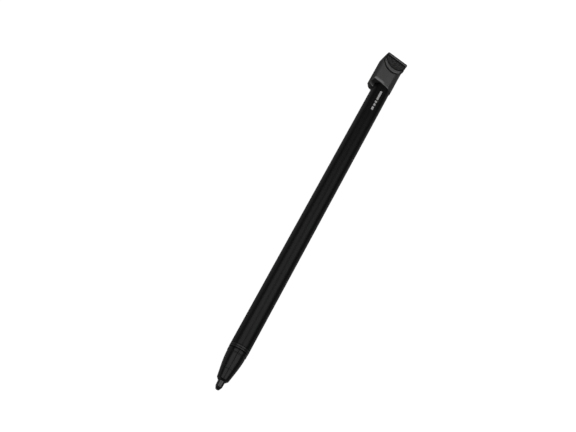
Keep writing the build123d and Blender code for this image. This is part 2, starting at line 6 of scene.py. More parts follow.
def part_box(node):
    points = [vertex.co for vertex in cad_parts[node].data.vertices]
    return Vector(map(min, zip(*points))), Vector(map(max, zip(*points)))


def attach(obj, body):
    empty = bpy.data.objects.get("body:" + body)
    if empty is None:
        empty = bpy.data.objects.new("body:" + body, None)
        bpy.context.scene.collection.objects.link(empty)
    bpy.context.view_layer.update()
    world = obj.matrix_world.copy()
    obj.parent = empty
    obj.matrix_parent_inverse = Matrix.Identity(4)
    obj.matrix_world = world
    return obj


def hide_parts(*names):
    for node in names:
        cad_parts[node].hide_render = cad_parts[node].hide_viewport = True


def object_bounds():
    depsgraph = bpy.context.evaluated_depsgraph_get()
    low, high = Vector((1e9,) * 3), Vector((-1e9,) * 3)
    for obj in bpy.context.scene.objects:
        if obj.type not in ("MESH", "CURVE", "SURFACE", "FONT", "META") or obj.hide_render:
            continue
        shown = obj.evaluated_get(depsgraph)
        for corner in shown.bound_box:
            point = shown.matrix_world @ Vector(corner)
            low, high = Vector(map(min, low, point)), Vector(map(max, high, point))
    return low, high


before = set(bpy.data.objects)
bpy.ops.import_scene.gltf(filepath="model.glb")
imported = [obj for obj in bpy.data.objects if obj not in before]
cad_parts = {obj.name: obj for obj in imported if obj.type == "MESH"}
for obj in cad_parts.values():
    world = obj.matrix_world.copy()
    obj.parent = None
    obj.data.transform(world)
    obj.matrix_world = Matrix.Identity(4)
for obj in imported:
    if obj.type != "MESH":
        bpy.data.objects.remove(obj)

cad_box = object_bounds()
MM = 0.001

# ---- View ------------------------------------------------------------------------------------------
# The pen is seen from over its nib: the cap end is farther off, and the pen is turned a little about
# its own axis so that the side with the cap's key shows.

view_tilt, view_turn, view_clock = np.radians((22.8, 12.0, 28.7))
view_distance = 268.3 * MM
view_offset = 6.08 * MM
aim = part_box("nib")[0].x + 55.5 * MM

along = np.array((np.sin(view_clock), np.cos(view_clock), 0.0))
across = np.array((np.cos(view_clock), -np.sin(view_clock), 0.0))
away = np.array((0.0, 0.0, -1.0))
drift = view_offset / view_distance * np.sin(view_tilt)
pen_x = np.cos(view_tilt) * along + np.sin(view_tilt) * away + drift * across
pen_x /= np.linalg.norm(pen_x)
facing = -away + away @ pen_x * pen_x
facing /= np.linalg.norm(facing)
leftward = np.cross(facing, pen_x)
pen_y = np.cos(view_turn) * leftward + np.sin(view_turn) * facing
pen_z = np.cos(view_turn) * facing - np.sin(view_turn) * leftward
to_camera = np.column_stack((pen_x, pen_y, pen_z))
seen_at = view_offset * across + view_distance * away
camera_place = np.array((aim, 0.0, 0.0)) - to_camera.T @ seen_at

camera_data = bpy.data.cameras.new("camera")
camera_data.lens = 56.25
camera_data.sensor_width = 36.0
camera_data.shift_x = -0.00086
camera_data.shift_y = 0.00096
camera_data.clip_start = 0.01
camera = bpy.data.objects.new("camera", camera_data)
bpy.context.scene.collection.objects.link(camera)
camera.matrix_world = Matrix.Translation(camera_place.tolist()) @ Matrix(to_camera.T.tolist()).to_4x4()
bpy.context.scene.camera = camera

# ---- Table and light -------------------------------------------------------------------------------
# A plain white table under two soft boxes side by side overhead, in a dim room. The table glows for
# the camera, so that it stays plain white, and only weakly for the pen.

table_size = 12.0
table_z = cad_box[0][2]
half = table_size / 2
table_mesh = bpy.data.meshes.new("table")
table_mesh.from_pydata(
    [(-half, -half, table_z), (half, -half, table_z), (half, half, table_z), (-half, half, table_z)],
    [],
    [(0, 1, 2, 3)],
)
table = bpy.data.objects.new("table", table_mesh)
bpy.context.scene.collection.objects.link(table)
table_material = bpy.data.materials.new("white_table")
table_material.use_nodes = True
table_nodes = table_material.node_tree.nodes
table_links = table_material.node_tree.links
table_shader = table_nodes["Principled BSDF"]
table_shader.inputs["Base Color"].default_value = (0.5, 0.5, 0.5, 1.0)
table_shader.inputs["Roughness"].default_value = 0.9
table_shader.inputs["Specular IOR Level"].default_value = 0.1
table_shader.inputs["Emission Color"].default_value = (1.0, 1.0, 1.0, 1.0)
table_path = table_nodes.new("ShaderNodeLightPath")
table_glow = table_nodes.new("ShaderNodeMapRange")
table_glow.inputs["To Min"].default_value = 0.06
table_glow.inputs["To Max"].default_value = 0.93
table_links.new(table_path.outputs["Is Camera Ray"], table_glow.inputs["Value"])
table_links.new(table_glow.outputs["Result"], table_shader.inputs["Emission Strength"])
table_mesh.materials.append(table_material)

world = bpy.data.worlds.new("room")
world.use_nodes = True
world.node_tree.nodes["Background"].inputs["Color"].default_value = (1.0, 1.0, 1.0, 1.0)
world.node_tree.nodes["Background"].inputs["Strength"].default_value = 0.05
bpy.context.scene.world = world
bpy.context.scene.view_settings.view_transform = "Standard"


def soft_box(name, round_angle, along_angle, distance, size, power):
    """An area light aimed at the pen's middle.

    Its direction is turned round_angle about the pen from the camera's side, and leans along_angle
    towards the cap.
    """
    light = bpy.data.lights.new(name, "AREA")
    light.shape = "RECTANGLE"
    light.size, light.size_y = size
    light.energy = power
    lamp = bpy.data.objects.new(name, light)
    bpy.context.scene.collection.objects.link(lamp)
    turn = np.radians(round_angle)
    lean = np.radians(along_angle)
    out_view = np.cos(turn) * facing - np.sin(turn) * leftward
    direction = to_camera.T @ (np.cos(lean) * out_view + np.sin(lean) * pen_x)
    lamp.location = Vector((aim, 0.0, 0.0)) + Vector(direction.tolist()) * distance
    x_axis = Vector((1.0, 0.0, 0.0))
    z_axis = Vector(direction.tolist())
    y_axis = z_axis.cross(x_axis).normalized()
    x_axis = y_axis.cross(z_axis).normalized()
    lamp.rotation_euler = Matrix((x_axis, y_axis, z_axis)).transposed().to_euler()


soft_box("left_box", -24.0, -2.0, 0.5, (0.6, 0.42), 0.5)
soft_box("right_box", 32.0, 0.0, 0.5, (0.62, 0.42), 0.5)

# ---- Nib -------------------------------------------------------------------------------------------
# A replaceable tip of black acetal, moulded with a blunt rounded point and a thin shank. It is pushed
# into the holder behind the nose, and held there by friction.


def rounded_line(corners, steps=6):
    """A line of straight runs whose corners are arcs.

    Each corner is (x, y, radius). An arc touches both runs at radius * tan(turn / 2) from the corner.
    Its points are middle + (sin((1 - t) turn) * start + sin(t turn) * end) / sin(turn), where start and
    end go from the arc's middle to the two touching points. Returns the points, and for each how far
    into an outward corner it lies, from 0 on a run to 1 at the corner's middle.
    """
    points, wear = [], []
    for index, (x, y, radius) in enumerate(corners):
        here = np.array((x, y))
        inner = 0 < index < len(corners) - 1
        if not inner or radius == 0:
            points.append(here[None])
            wear.append(np.zeros(1))
            continue
        back = np.array(corners[index - 1][:2]) - here
        on = np.array(corners[index + 1][:2]) - here
        back_run, on_run = np.linalg.norm(back), np.linalg.norm(on)
        back, on = back / back_run, on / on_run
        half_angle = np.arccos(np.clip(back @ on, -1, 1)) / 2
        reach = min(radius / np.tan(half_angle), 0.49 * back_run, 0.49 * on_run)
        radius = reach * np.tan(half_angle)
        middle = here + (back + on) / np.linalg.norm(back + on) * radius / np.sin(half_angle)
        start, end = here + back * reach - middle, here + on * reach - middle
        share = np.linspace(0, 1, steps)[:, None]
        bend = np.pi - 2 * half_angle
        arc = (np.sin((1 - share) * bend) * start + np.sin(share * bend) * end) / np.sin(bend)
        outward = np.sign(-back[0] * on[1] + back[1] * on[0])
        points.append(middle + arc)
        wear.append(np.sin(np.linspace(0, np.pi, steps)) * max(outward, 0))
    return np.concatenate(points), np.concatenate(wear)


def make_piece(name, verts, faces, wear=None):
    """A mesh object from points and faces, turned right side out by the sign of its volume."""
    mesh = bpy.data.meshes.new(name)
    mesh.from_pydata(verts.tolist(), [], faces)
    mesh.calc_loop_triangles()
    triangles = np.empty(3 * len(mesh.loop_triangles), dtype=np.int32)
    mesh.loop_triangles.foreach_get("vertices", triangles)
    a, b, c = (verts[triangles[k::3]] for k in range(3))
    if (np.cross(a, b) * c).sum() < 0:
        mesh.flip_normals()
    if wear is not None:
        layer = mesh.attributes.new("wear", "FLOAT", "POINT")
        layer.data.foreach_set("value", wear.astype(np.float32))
    mesh.shade_smooth()
    mesh.set_sharp_from_angle(angle=np.radians(32))
    piece = bpy.data.objects.new(name, mesh)
    bpy.context.scene.collection.objects.link(piece)
    return piece


def ring_faces(rings, around, start=0):
    """Quads between neighbouring rings of points: ring i, point j to ring i + 1, point j + 1."""
    i = np.arange(rings - 1)[:, None] * around
    j = np.arange(around)[None, :]
    on = (j + 1) % around
    quads = np.stack((i + j, i + on, i + around + on, i + around + j), axis=-1)
    return (quads.reshape(-1, 4) + start).tolist()


def turned(name, corners, around=160, steps=6, closed=False):
    """A piece turned about the pen's axis.

    The profile's point (x, r) is carried round: (x, r cos a, r sin a). A profile that starts and ends
    on the axis closes there in a fan. A closed profile joins its last ring to its first.
    """
    line, wear = rounded_line([(x * MM, r * MM, radius * MM) for x, r, radius in corners], steps)
    if not closed:
        poles, line, wear = line[[0, -1]], line[1:-1], wear[1:-1]
    angle = np.linspace(0, 2 * np.pi, around, endpoint=False)
    x = np.repeat(line[:, :1], around, axis=1)
    verts = np.stack((x, line[:, 1:] * np.cos(angle), line[:, 1:] * np.sin(angle)), axis=-1).reshape(-1, 3)
    faces = ring_faces(len(line), around)
    wear = np.repeat(wear, around)
    step = np.arange(around)
    last = (len(line) - 1) * around
    if closed:
        join = np.stack((last + step, last + (step + 1) % around, (step + 1) % around, step), axis=-1)
        faces += join.tolist()
    else:
        count = len(verts)
        verts = np.concatenate((verts, [(poles[0, 0], 0, 0), (poles[1, 0], 0, 0)]))
        wear = np.concatenate((wear, (0, 0)))
        fan = np.stack((np.full(around, count), (step + 1) % around, step), axis=-1)
        end = np.stack((np.full(around, count + 1), last + step, last + (step + 1) % around), axis=-1)
        faces += fan.tolist() + end.tolist()
    return make_piece(name, verts, faces, wear)


def new_group(name, inputs, outputs):
    """An empty shader node group with named float, colour or vector sockets."""
    group = bpy.data.node_groups.new(name, "ShaderNodeTree")
    kinds = {"f": "NodeSocketFloat", "c": "NodeSocketColor", "v": "NodeSocketVector"}
    for socket, kind, value in inputs:
        made = group.interface.new_socket(socket, in_out="INPUT", socket_type=kinds[kind])
        if value is not None:
            made.default_value = value
    for socket, kind in outputs:
        group.interface.new_socket(socket, in_out="OUTPUT", socket_type=kinds[kind])
    return group, group.nodes.new("NodeGroupInput").outputs, group.nodes.new("NodeGroupOutput").inputs


def node(tree, kind, settings=None, **links):
    """A node whose inputs are set by name or number: a socket is linked, anything else is a value."""
    made = tree.nodes.new(kind)
    for key, value in (settings or {}).items():
        setattr(made, key, value)
    for key, value in links.items():
        socket = made.inputs[int(key[1:])] if key[0] == "_" else made.inputs[key.replace("_", " ")]
        if isinstance(value, bpy.types.NodeSocket):
            tree.links.new(value, socket)
        else:
            socket.default_value = value
    return made.outputs


def maths(tree, operation, *values, clamp=False):
    """One Math node of the given operation."""
    links = {f"_{index}": value for index, value in enumerate(values)}
    return node(tree, "ShaderNodeMath", {"operation": operation, "use_clamp": clamp}, **links)[0]


# skin: the fine even pits of a moulded or blasted face over broader waves, and a slow drift of tone
skin_group, skin_in, skin_out = new_group(
    "skin",
    [("Place", "v", None), ("Pit Scale", "f", 6000.0), ("Wave Scale", "f", 700.0), ("Wave Share", "f", 0.3)],
    [("Height", "f"), ("Drift", "f")],
)
skin_pits = node(skin_group, "ShaderNodeTexNoise", Vector=skin_in["Place"], Scale=skin_in["Pit Scale"],
                 Detail=3.0, Roughness=0.55)
skin_waves = node(skin_group, "ShaderNodeTexNoise", Vector=skin_in["Place"], Scale=skin_in["Wave Scale"],
                  Detail=2.0, Roughness=0.5)
skin_group.links.new(
    node(skin_group, "ShaderNodeMix", Factor=skin_in["Wave Share"], A=skin_pits[0], B=skin_waves[0])[0],
    skin_out["Height"],
)
skin_slow = node(skin_group, "ShaderNodeTexNoise", Vector=skin_in["Place"], Scale=90.0, Detail=4.0,
                 Roughness=0.6)
skin_group.links.new(skin_slow[0], skin_out["Drift"])

# handling: rubbed edges read from the piece's wear attribute, hairline scratches, and greasy smudges
handling_group, handling_in, handling_out = new_group(
    "handling",
    [("Place", "v", None), ("Wear", "f", 0.0), ("Scratches", "f", 0.5), ("Smudges", "f", 0.5)],
    [("Rubbed", "f"), ("Scratch", "f"), ("Smudge", "f")],
)
rub_noise = node(handling_group, "ShaderNodeTexNoise", Vector=handling_in["Place"], Scale=1500.0, Detail=4.0)
rub_mask = maths(handling_group, "MULTIPLY_ADD", rub_noise[0], 1.6, -0.35, clamp=True)
handling_group.links.new(
    maths(handling_group, "MULTIPLY", handling_in["Wear"], rub_mask), handling_out["Rubbed"]
)
scratch_place = node(handling_group, "ShaderNodeMapping", Vector=handling_in["Place"],
                     Rotation=(0.3, 0.15, 0.5), Scale=(0.12, 1.0, 1.0))
scratch_noise = node(handling_group, "ShaderNodeTexNoise", Vector=scratch_place[0], Scale=2600.0,
                     Detail=1.0)
scratch_line = maths(handling_group, "ABSOLUTE", maths(handling_group, "SUBTRACT", scratch_noise[0], 0.5))
scratch_thin = maths(handling_group, "MULTIPLY_ADD", scratch_line, -90.0, 1.0, clamp=True)
scratch_area = node(handling_group, "ShaderNodeTexNoise", Vector=handling_in["Place"], Scale=220.0,
                    Detail=2.0)
scratch_some = maths(handling_group, "MULTIPLY_ADD", scratch_area[0], 6.0, -3.3, clamp=True)
scratch_mask = maths(handling_group, "MULTIPLY", scratch_thin, scratch_some)
handling_group.links.new(
    maths(handling_group, "MULTIPLY", scratch_mask, handling_in["Scratches"]), handling_out["Scratch"]
)
smudge_noise = node(handling_group, "ShaderNodeTexNoise", Vector=handling_in["Place"], Scale=160.0,
                    Detail=6.0, Roughness=0.65, Distortion=0.8)
smudge_mask = maths(handling_group, "MULTIPLY_ADD", smudge_noise[0], 3.0, -1.2, clamp=True)
handling_group.links.new(
    maths(handling_group, "MULTIPLY", smudge_mask, handling_in["Smudges"]), handling_out["Smudge"]
)


def use_group(tree, group, **links):
    """A placed node group with its inputs set or linked by name."""
    return node(tree, "ShaderNodeGroup", {"node_tree": group}, **links)


def blend(tree, mask, below, above, kind="MIX"):
    """The colour above over the colour below, as far as mask goes from 0 to 1."""
    below, above = ((*colour, 1.0) if isinstance(colour, tuple) else colour for colour in (below, above))
    settings = {"data_type": "RGBA", "blend_type": kind}
    return node(tree, "ShaderNodeMix", settings, Factor=mask, _6=below, _7=above)[2]


def paint_over(tree, shader, mask, colour, kind="MIX"):
    """One more layer of colour on a finish."""
    base = shader.inputs["Base Color"]
    tree.links.new(blend(tree, mask, base.links[0].from_socket, colour, kind), base)


def roughen(tree, shader, mask, amount):
    """Roughness plus mask * amount."""
    rough = shader.inputs["Roughness"]
    tree.links.new(maths(tree, "MULTIPLY_ADD", mask, amount, rough.links[0].from_socket), rough)


def finish(name, dark, light, rough, smudge_rough=0.08, pits=6000.0, waves=700.0, wave_share=0.3,
           bump=0.00001, scratches=0.4, smudges=0.5, rubbed=(0.03, 0.03, 0.03), metal=0.0, specular=0.5):
    """A moulded or coated finish.

    Base colour drifts between dark and light and turns to rubbed on worn edges; roughness rises under
    smudges and falls on worn edges; the skin's pits and the scratches are the bump's height. Returns
    the material, its tree and its shader, so that further layers can be added.
    """
    material = bpy.data.materials.new(name)
    material.use_nodes = True
    tree = material.node_tree
    shader = tree.nodes["Principled BSDF"]
    place = node(tree, "ShaderNodeTexCoord")["Object"]
    skin = use_group(tree, skin_group, Place=place, Pit_Scale=pits, Wave_Scale=waves, Wave_Share=wave_share)
    worn = node(tree, "ShaderNodeAttribute", {"attribute_name": "wear"})["Fac"]
    marks = use_group(tree, handling_group, Place=place, Wear=worn, Scratches=scratches, Smudges=smudges)
    drift = maths(tree, "MULTIPLY_ADD", skin["Drift"], 2.0, -0.5, clamp=True)
    colour = blend(tree, drift, dark, light)
    handled = maths(tree, "MAXIMUM", marks["Rubbed"], maths(tree, "MULTIPLY", marks["Scratch"], 0.6))
    colour = blend(tree, handled, colour, rubbed)
    roughness = maths(tree, "MULTIPLY_ADD", marks["Smudge"], smudge_rough, rough)
    roughness = maths(tree, "MULTIPLY_ADD", marks["Rubbed"], -0.12, roughness)
    height = maths(tree, "MULTIPLY_ADD", marks["Scratch"], -0.6, skin["Height"])
    bumped = node(tree, "ShaderNodeBump", Height=height, Distance=bump, Strength=1.0)[0]
    tree.links.new(colour, shader.inputs["Base Color"])
    tree.links.new(roughness, shader.inputs["Roughness"])
    tree.links.new(bumped, shader.inputs["Normal"])
    shader.inputs["Metallic"].default_value = metal
    shader.inputs["Specular IOR Level"].default_value = specular
    return material, tree, shader


nib_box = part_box("nib")
nib_point = nib_box[0].x / MM
nib_end = nib_box[1].x / MM
nib_head, nib_r, shank_r = 7.5, 1.07, 0.6
nib_front = nib_point + 0.06
nib_shoulder = nib_point + nib_head
nib_piece = turned(
    "nib_moulding",
    [
        (nib_front, 0.0, 0),
        (nib_front, 0.5, 0.48),
        (nib_point + 1.1, 1.0, 0.6),
        (nib_point + 2.75, nib_r, 0.3),
        (nib_shoulder, nib_r, 0.08),
        (nib_shoulder + 0.05, shank_r, 0.06),
        (nib_end, shank_r, 0.15),
        (nib_end, 0.0, 0),
    ],
    around=128,
    steps=10,
)
nib_material, tree, shader = finish(
    "black_acetal", (0.004, 0.004, 0.004), (0.007, 0.007, 0.007), 0.1, bump=0.000003, pits=4000.0,
    waves=900.0, scratches=0.6, specular=1.0)
shader.inputs["IOR"].default_value = 1.62
nib_piece.data.materials.append(nib_material)
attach(nib_piece, "nib")
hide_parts("nib")

# ---- Nib holder ------------------------------------------------------------------------------------
# A sliding sleeve in natural acetal that carries the nib back against the pressure sensor, with a
# soft ring in its bore that grips the nib's shank.


def refinish(material, *names):
    """The CAD's own meshes keep their shape and take this finish."""
    for name in names:
        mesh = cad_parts[name].data
        mesh.materials.clear()
        mesh.materials.append(material)


refinish(
    finish("ivory_acetal", (0.52, 0.5, 0.43), (0.62, 0.6, 0.54), 0.38, bump=0.000006, pits=3500.0,
           rubbed=(0.7, 0.68, 0.6))[0],
    "nib_holder",
)
refinish(
    finish("grey_elastomer", (0.05, 0.05, 0.055), (0.08, 0.08, 0.085), 0.7, bump=0.00001, pits=5000.0,
           specular=0.3)[0],
    "nib_grip_ring",
)

# ---- Return spring ---------------------------------------------------------------------------------
# Hard drawn spring wire, wound and set in the cone's bore behind the holder's flange. Drawing leaves
# fine lines along the wire.

refinish(
    finish("drawn_spring_steel", (0.42, 0.41, 0.39), (0.56, 0.55, 0.53), 0.28, bump=0.000004, pits=9000.0,
           waves=2500.0, scratches=0.9, metal=1.0)[0],
    "return_spring",
)

# ---- Tilt electrode --------------------------------------------------------------------------------
# A short brass sleeve pressed into the cone around the nib's bore. It dulls in patches.

refinish(
    finish("dulled_brass", (0.42, 0.28, 0.1), (0.62, 0.45, 0.18), 0.3, smudge_rough=0.2, bump=0.000004,
           waves=500.0, metal=1.0)[0],
    "tilt_electrode",
)

# ---- Nose tip --------------------------------------------------------------------------------------
# The front ring of the nose, moulded in black plastic with the nib's hole through it. It is glued
# into the cone by a short spigot.

tip_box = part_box("nose_tip")
tip_front = tip_box[0].x / MM
tip_end = tip_box[1].x / MM
cone_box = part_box("nose_cone")
cone_front = cone_box[0].x / MM
tip_face_end, tip_shoulder = tip_front + 0.58, cone_front - 0.03
nib_hole, tip_spigot_r = 1.12, 1.72
tip_piece = turned(
    "nose_tip_moulding",
    [
        (tip_front + 0.3, nib_hole, 0),
        (tip_front, nib_hole + 0.03, 0.06),
        (tip_front, 1.25, 0.08),
        (tip_face_end, 1.79, 0.3),
        (tip_shoulder, 2.31, 0.08),
        (tip_shoulder, tip_spigot_r, 0),
        (tip_end, tip_spigot_r, 0),
        (tip_end, nib_hole, 0),
    ],
    closed=True,
    steps=8,
)
tip_material = finish("nose_black_plastic", (0.006, 0.006, 0.0062), (0.011, 0.011, 0.0112), 0.22,
                      bump=0.000005, pits=5000.0, rubbed=(0.035, 0.035, 0.035))[0]
tip_piece.data.materials.append(tip_material)
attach(tip_piece, "root")
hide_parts("nose_tip")

# ---- Nose cone -------------------------------------------------------------------------------------
# The flared cone behind the tip, in the same black plastic, with a shallow neck and a raised rim.
# Its spigot runs back inside the barrel, and the nib's holder and spring work in its bore.

cone_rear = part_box("insulating_washers")[0].x / MM
cone_end = cone_box[1].x / MM
rim_width, neck_width, neck_r = 0.95, 0.4, 2.79
neck = cone_rear - rim_width - neck_width
flange_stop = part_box("nib_holder")[0].x / MM + 5.7
electrode_end = tip_end + 2.75
spigot_r, spring_bore, guide_bore, electrode_bore = 2.2, 2.0, 1.35, 1.74
cone_piece = turned(
    "nose_cone_moulding",
    [
        (cone_front, 2.315, 0.07),
        (cone_front + 1.15, 2.51, 0),
        (cone_front + 2.3, 2.67, 0),
        (cone_front + 3.45, 2.79, 0),
        (neck, 2.865, 0.12),
        (neck + 0.1, neck_r, 0.08),
        (neck + 0.3, neck_r, 0.08),
        (neck + neck_width, 2.94, 0.1),
        (cone_rear, 2.97, 0.12),
        (cone_rear, spigot_r, 0),
        (cone_end, spigot_r, 0),
        (cone_end, spring_bore, 0),
        (flange_stop, spring_bore, 0),
        (flange_stop, guide_bore, 0),
        (electrode_end, guide_bore, 0),
        (electrode_end, electrode_bore, 0),
        (cone_front, electrode_bore, 0.02),
    ],
    closed=True,
    steps=7,
)
cone_piece.data.materials.append(tip_material)
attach(cone_piece, "root")
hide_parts("nose_cone")

# ---- Pressure sensor -------------------------------------------------------------------------------
# A drawn steel cup, with an elastomer pad and a fired ceramic disc stacked inside it behind the
# holder's rod.

refinish(
    finish("drawn_cup_steel", (0.3, 0.3, 0.31), (0.42, 0.42, 0.43), 0.32, bump=0.000005, waves=1500.0,
           wave_share=0.7, metal=1.0)[0],
    "sensor_housing",
)
refinish(
    finish("black_elastomer", (0.012, 0.012, 0.012), (0.02, 0.02, 0.021), 0.75, bump=0.000012,
           specular=0.3)[0],
    "sensor_pad", "cap_seal",
)
refinish(
    finish("fired_ceramic", (0.62, 0.6, 0.55), (0.74, 0.72, 0.68), 0.55, bump=0.000009, pits=8000.0)[0],
    "sensor_disc",
)

# ---- Contact rings ---------------------------------------------------------------------------------
# Two turned rings of brass under black nickel, pushed onto the cone's spigot. Spring fingers in the
# device's slot touch them to charge the cell.

ring_bore = 2.22
ring_material = finish("black_nickel", (0.013, 0.013, 0.013), (0.022, 0.022, 0.022), 0.3, bump=0.000003,
                       pits=5000.0, rubbed=(0.08, 0.075, 0.06), scratches=0.8, specular=0.7)[0]
# the front ring's edge stands back behind the first washer's groove
for ring, ring_gap in (("front_contact_ring", 0.13), ("rear_contact_ring", 0.0)):
    ring_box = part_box(ring)
    ring_front, ring_rear, ring_r = ring_box[0].x / MM, ring_box[1].x / MM, ring_box[1].z / MM
    ring_piece = turned(
        ring + "_turned",
        [
            (ring_front + ring_gap, ring_bore, 0),
            (ring_front + ring_gap, ring_r, 0.05),
            (ring_rear, ring_r, 0.05),
            (ring_rear, ring_bore, 0),
        ],
        closed=True,
        steps=8,
    )
    ring_piece.data.materials.append(ring_material)
    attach(ring_piece, "root")
    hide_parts(ring)

# ---- Insulating washers ----------------------------------------------------------------------------
# Three thin washers punched from dull black plastic sheet. They keep the rings apart from each other
# and from the barrel, and sit a little below the surface.

washer_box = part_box("insulating_washers")
washer_r = washer_box[1].z / MM
washer_material = finish("washer_plastic_black", (0.003, 0.003, 0.003), (0.006, 0.006, 0.006), 0.6,
                         bump=0.000006, rubbed=(0.01, 0.01, 0.01), specular=0.3)[0]
washer_width, washer_pitch = 0.13, 0.66
# how far each edge lies inside the CAD's: the first is deep behind the cone's rim, the others are flush
for index, recess in enumerate((0.5, -0.14, -0.1)):
    washer_front = washer_box[0].x / MM + index * washer_pitch
    washer_piece = turned(
        f"washer_{index}",
        [
            (washer_front, ring_bore, 0),
            (washer_front, washer_r - recess, 0.03),
            (washer_front + washer_width, washer_r - recess, 0.03),
            (washer_front + washer_width, ring_bore, 0),
        ],
        around=128,
        closed=True,
        steps=4,
    )
    washer_piece.data.materials.append(washer_material)
    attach(washer_piece, "root")
    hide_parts("insulating_washers")

# ---- Chassis ---------------------------------------------------------------------------------------
# A half-round carrier moulded in glass-filled dark plastic. Short fibres show as pale flecks that lie
# along the flow.

chassis_material, tree, shader = finish(
    "glass_filled_plastic", (0.014, 0.014, 0.016), (0.022, 0.022, 0.025), 0.5, bump=0.00001, pits=3000.0)
place = node(tree, "ShaderNodeTexCoord")["Object"]
flow = node(tree, "ShaderNodeMapping", Vector=place, Scale=(0.2, 1.0, 1.0))
fleck_noise = node(tree, "ShaderNodeTexVoronoi", Vector=flow[0], Scale=9000.0)
flecks = maths(tree, "MULTIPLY_ADD", fleck_noise["Distance"], -9.0, 1.0, clamp=True)
paint_over(tree, shader, flecks, (0.09, 0.09, 0.09))
refinish(chassis_material, "chassis")

# ---- Circuit board ---------------------------------------------------------------------------------
# Glass-cloth laminate under green solder mask, with copper tracks that show through as paler lines.

board_material, tree, shader = finish(
    "green_laminate", (0.008, 0.045, 0.02), (0.012, 0.065, 0.03), 0.32, bump=0.000003, pits=2500.0)
place = node(tree, "ShaderNodeTexCoord")["Object"]
board_split = node(tree, "ShaderNodeSeparateXYZ", Vector=place)
long_tracks = maths(tree, "FRACT", maths(tree, "MULTIPLY", board_split["Y"], 2400.0))
long_tracks = maths(tree, "LESS_THAN", long_tracks, 0.42)
block_noise = node(tree, "ShaderNodeTexNoise", Vector=place, Scale=420.0, Detail=0.0)[0]
tracks = maths(tree, "MULTIPLY", long_tracks, maths(tree, "GREATER_THAN", block_noise, 0.47))
paint_over(tree, shader, tracks, (0.03, 0.12, 0.05))
refinish(board_material, "main_board")

# ---- Board parts -----------------------------------------------------------------------------------
# Chips in matt black resin, a crystal in a nickel can, and small ceramic bodies with bright tinned
# ends. They are soldered to the board.

refinish(
    finish("matt_resin", (0.01, 0.01, 0.01), (0.018, 0.018, 0.018), 0.62, bump=0.00001, pits=9000.0)[0],
    "controller_chip", "charge_chip",
)
refinish(
    finish("nickel_can", (0.5, 0.48, 0.44), (0.62, 0.6, 0.56), 0.25, bump=0.000003, waves=1500.0,
           metal=1.0)[0],
    "crystal",
)
passive_material, tree, shader = finish(
    "tan_ceramic", (0.2, 0.13, 0.07), (0.3, 0.2, 0.12), 0.4, bump=0.000004, pits=9000.0)
place = node(tree, "ShaderNodeTexCoord")["Object"]
tint = node(tree, "ShaderNodeTexVoronoi", Vector=place, Scale=1300.0)["Color"]
paint_over(tree, shader, 0.5, tint, "MULTIPLY")
refinish(passive_material, "board_passives")

# ---- Leads and springs -----------------------------------------------------------------------------
# Rolled strips of plated copper: the contact rings' leads, the cell's welded tabs, and the bowed leaf
# that grounds the barrel. The sensor's lead is copper in amber film.

refinish(
    finish("plated_strip", (0.55, 0.4, 0.2), (0.72, 0.56, 0.32), 0.27, bump=0.000003, waves=1800.0,
           wave_share=0.7, metal=1.0)[0],
    "contact_leads", "cell_tabs", "ground_spring",
)
flex_material, tree, shader = finish(
    "amber_film", (0.3, 0.12, 0.02), (0.42, 0.18, 0.03), 0.22, bump=0.000002)
place = node(tree, "ShaderNodeTexCoord")["Object"]
flex_split = node(tree, "ShaderNodeSeparateXYZ", Vector=place)
flex_lines = maths(tree, "FRACT", maths(tree, "MULTIPLY", flex_split["Y"], 3300.0))
flex_lines = maths(tree, "LESS_THAN", flex_lines, 0.45)
paint_over(tree, shader, flex_lines, (0.5, 0.26, 0.08))
refinish(flex_material, "sensor_flex")

# ---- Power cell ------------------------------------------------------------------------------------
# A drawn aluminium can, crimped round its front collar. Drawing leaves faint rings.

cell_material, tree, shader = finish(
    "drawn_aluminium", (0.5, 0.51, 0.52), (0.62, 0.63, 0.64), 0.34, bump=0.000004, waves=1200.0, metal=1.0)
place = node(tree, "ShaderNodeTexCoord")["Object"]
along_cell = node(tree, "ShaderNodeSeparateXYZ", Vector=place)["X"]
drawn_rings = node(tree, "ShaderNodeTexNoise", {"noise_dimensions": "1D"}, W=along_cell, Scale=5000.0,
                   Detail=2.0)
roughen(tree, shader, drawn_rings[0], 0.15)
refinish(cell_material, "power_cell")

# ---- Foam pad --------------------------------------------------------------------------------------
# A disc punched from open-cell foam that stops the chassis rattling against the cap's plug.

foam_material, tree, shader = finish(
    "grey_foam", (0.03, 0.03, 0.03), (0.06, 0.06, 0.06), 0.9, bump=0.00006, pits=2600.0, specular=0.1)
place = node(tree, "ShaderNodeTexCoord")["Object"]
cells = node(tree, "ShaderNodeTexVoronoi", Vector=place, Scale=3500.0)["Distance"]
paint_over(tree, shader, maths(tree, "MULTIPLY_ADD", cells, -1.1, 1.0, clamp=True), (0.004, 0.004, 0.004))
refinish(foam_material, "foam_pad")

# ---- Barrel ----------------------------------------------------------------------------------------
# A drawn aluminium tube with a satin black coat. Its rear end is cut at a slant to meet the cap, and
# a row of plain white dashes near it marks which way up the pen goes in.

